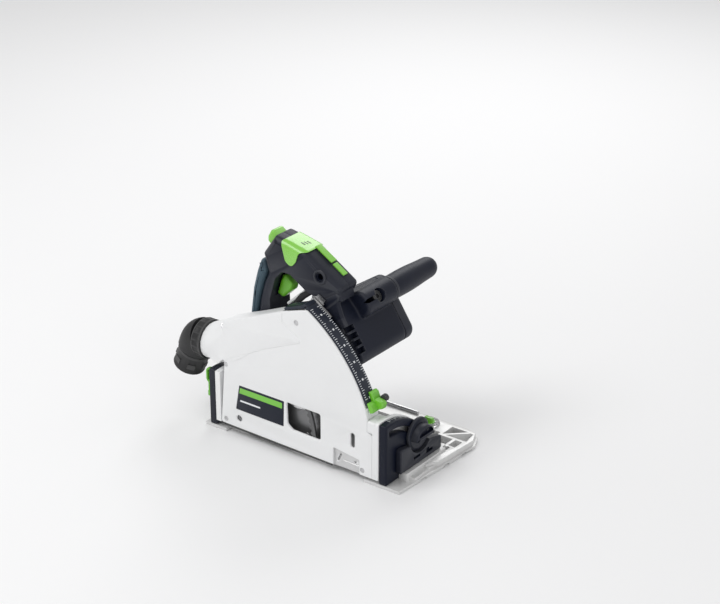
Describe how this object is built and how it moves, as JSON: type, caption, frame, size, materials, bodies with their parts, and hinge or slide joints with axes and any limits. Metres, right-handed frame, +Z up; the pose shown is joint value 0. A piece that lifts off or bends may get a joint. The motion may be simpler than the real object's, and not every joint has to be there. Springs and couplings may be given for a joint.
{
  "type": "track plunge saw",
  "caption": "Corded plunge-cut circular saw with a tilting guard, swivelling dust outlet, depth stop and a flat table that runs on a guide rail.",
  "frame": {"origin": "underside of the table, below the plunge axle, on the tilt axis and in the plane of the blade", "axes": "+X forward in the cutting direction, +Y to the motor side, +Z up out of the table"},
  "size_m": [0.3698, 0.2128, 0.2691],
  "materials": {
    "pale_casting": "ribbed satin die casting",
    "dark_casting": "black satin paint",
    "white_shell": "satin moulded",
    "label": "printed plate with one green stripe, no text",
    "scale": "dark grey-blue with white ticks",
    "navy_shell": "fine textured moulding",
    "motor_shell": "fine textured moulding",
    "soft_grip": "matte soft overmould",
    "green": "bright green moulding",
    "black_plastic": "black moulding",
    "rubber": "dark grey rubber",
    "circuit": "circuit board",
    "steel": "bright steel",
    "dark_steel": "blackened steel",
    "copper": "turned copper"
  },
  "bodies": {
    "table": {"base_plate": "pale_casting", "glide_strips": "rubber", "front_quadrant": "dark_casting", "rear_quadrant": "dark_casting", "front_block": "dark_casting", "rear_block": "dark_casting", "rail_rod": "steel"},
    "front_rail_jaw": {"front_rail_jaw": "green"},
    "rear_rail_jaw": {"rear_rail_jaw": "green"},
    "undercut_lever": {"undercut_lever": "green"},
    "guard": {"guard_housing": "white_shell", "guard_cover": "white_shell", "label_plate": "label", "cover_screws": "dark_steel", "lower_seal": "rubber", "depth_scale": "scale", "front_bracket": "white_shell", "rear_bracket": "white_shell", "pivot_axle": "steel", "return_spring": "steel", "lock_quadrant": "dark_steel", "dust_port": "white_shell"},
    "front_tilt_knob": {"front_tilt_knob": "black_plastic"},
    "rear_tilt_knob": {"rear_tilt_knob": "black_plastic"},
    "dust_elbow": {"dust_elbow": "rubber"},
    "dust_nozzle": {"dust_nozzle": "rubber"},
    "depth_stop": {"depth_stop": "green"},
    "stop_knob": {"stop_knob": "black_plastic"},
    "head": {"gear_case": "dark_casting", "bearing_plate": "steel", "housing_screws": "dark_steel", "motor_housing": "motor_shell", "end_cap": "motor_shell", "handle_near_shell": "navy_shell", "handle_far_shell": "navy_shell", "soft_grip": "soft_grip", "switch_module": "black_plastic", "electronics_module": "circuit", "power_socket": "black_plastic", "aux_handle": "motor_shell", "stator": "dark_steel", "brush_gear": "black_plastic", "ball_bearings": "steel", "stop_lug": "steel"},
    "spindle": {"spindle": "steel", "blade": "steel", "outer_flange": "steel", "flange_screw": "dark_steel", "spindle_gear": "steel"},
    "idler": {"idler_gear": "steel"},
    "armature": {"armature_shaft": "steel", "rotor": "dark_steel", "commutator": "copper", "fan": "black_plastic"},
    "riving_knife": {"riving_knife": "steel"},
    "trigger": {"trigger": "green"},
    "lock_button": {"lock_button": "green"},
    "change_lever": {"change_lever": "green"},
    "speed_dial": {"speed_dial": "black_plastic"}
  },
  "joints": [
    {"name": "tilt", "type": "hinge", "parent": "table", "child": "guard", "pos_m": [0, 0, 0], "axis": [1, 0, 0], "range_deg": [-1, 47]},
    {"name": "plunge", "type": "hinge", "parent": "guard", "child": "head", "pos_m": [0, 0, 0.025], "axis": [0, 1, 0], "range_deg": [0, 33.5], "deforming": ["return_spring"]},
    {"name": "spindle_spin", "type": "hinge", "parent": "head", "child": "spindle", "pos_m": [0.08589, 0, 0.08185], "axis": [0, 1, 0], "continuous": true},
    {"name": "idler_spin", "type": "hinge", "parent": "head", "child": "idler", "pos_m": [0.09075, 0, 0.10942], "axis": [0, 1, 0], "continuous": true},
    {"name": "armature_spin", "type": "hinge", "parent": "head", "child": "armature", "pos_m": [0.09501, 0, 0.13355], "axis": [0, 1, 0], "continuous": true},
    {"name": "riving_knife_swing", "type": "hinge", "parent": "head", "child": "riving_knife", "pos_m": [0.08589, 0, 0.08185], "axis": [0, -1, 0], "range_deg": [0, 16]},
    {"name": "trigger_pull", "type": "hinge", "parent": "head", "child": "trigger", "pos_m": [0.04209, 0, 0.21235], "axis": [0, 1, 0], "range_deg": [0, 8]},
    {"name": "lock_button_press", "type": "slide", "parent": "head", "child": "lock_button", "axis": [0.8154, 0, -0.5789], "range_m": [0, 0.003]},
    {"name": "change_lever_lift", "type": "hinge", "parent": "head", "child": "change_lever", "pos_m": [0.10601, 0, 0.24351], "axis": [0, 1, 0], "range_deg": [0, 20]},
    {"name": "speed_dial_turn", "type": "hinge", "parent": "head", "child": "speed_dial", "pos_m": [0.05577, 0.074, 0.11468], "axis": [0.8339, 0, 0.5519], "range_deg": [0, 270]},
    {"name": "elbow_turn", "type": "hinge", "parent": "guard", "child": "dust_elbow", "pos_m": [-0.061, 0.013, 0.106], "axis": [1, 0, 0], "continuous": true},
    {"name": "nozzle_swivel", "type": "hinge", "parent": "dust_elbow", "child": "dust_nozzle", "pos_m": [-0.08932, 0.013, 0.08756], "axis": [-0.4067, 0, -0.9135], "continuous": true},
    {"name": "depth_stop_shift", "type": "hinge", "parent": "guard", "child": "depth_stop", "pos_m": [0, 0, 0.025], "axis": [0, -1, 0], "range_deg": [0, 26]},
    {"name": "stop_knob_turn", "type": "hinge", "parent": "depth_stop", "child": "stop_knob", "pos_m": [0.20241, 0, 0.10596], "axis": [0, 1, 0], "range_deg": [0, 270]},
    {"name": "front_clamp_turn", "type": "hinge", "parent": "guard", "child": "front_tilt_knob", "pos_m": [0.2224, 0.04863, 0.05035], "axis": [1, 0, 0], "range_deg": [0, 180]},
    {"name": "rear_clamp_turn", "type": "hinge", "parent": "guard", "child": "rear_tilt_knob", "pos_m": [-0.0484, 0.04654, 0.0482], "axis": [-1, 0, 0], "range_deg": [0, 180]},
    {"name": "front_jaw_turn", "type": "hinge", "parent": "table", "child": "front_rail_jaw", "pos_m": [0.18, 0.138, 0.011], "axis": [0, 0, 1], "range_deg": [-80, 80]},
    {"name": "rear_jaw_turn", "type": "hinge", "parent": "table", "child": "rear_rail_jaw", "pos_m": [-0.03, 0.138, 0.011], "axis": [0, 0, 1], "range_deg": [-80, 80]},
    {"name": "undercut_pull", "type": "slide", "parent": "table", "child": "undercut_lever", "axis": [-1, 0, 0], "range_m": [0, 0.004]}
  ],
  "couplings": [
    {"joint": "idler_spin", "follows": "spindle_spin", "ratio": -1.6667},
    {"joint": "armature_spin", "follows": "spindle_spin", "ratio": 5.7576},
    {"joint": "riving_knife_swing", "follows": "plunge", "ratio": 0.47761}
  ]
}
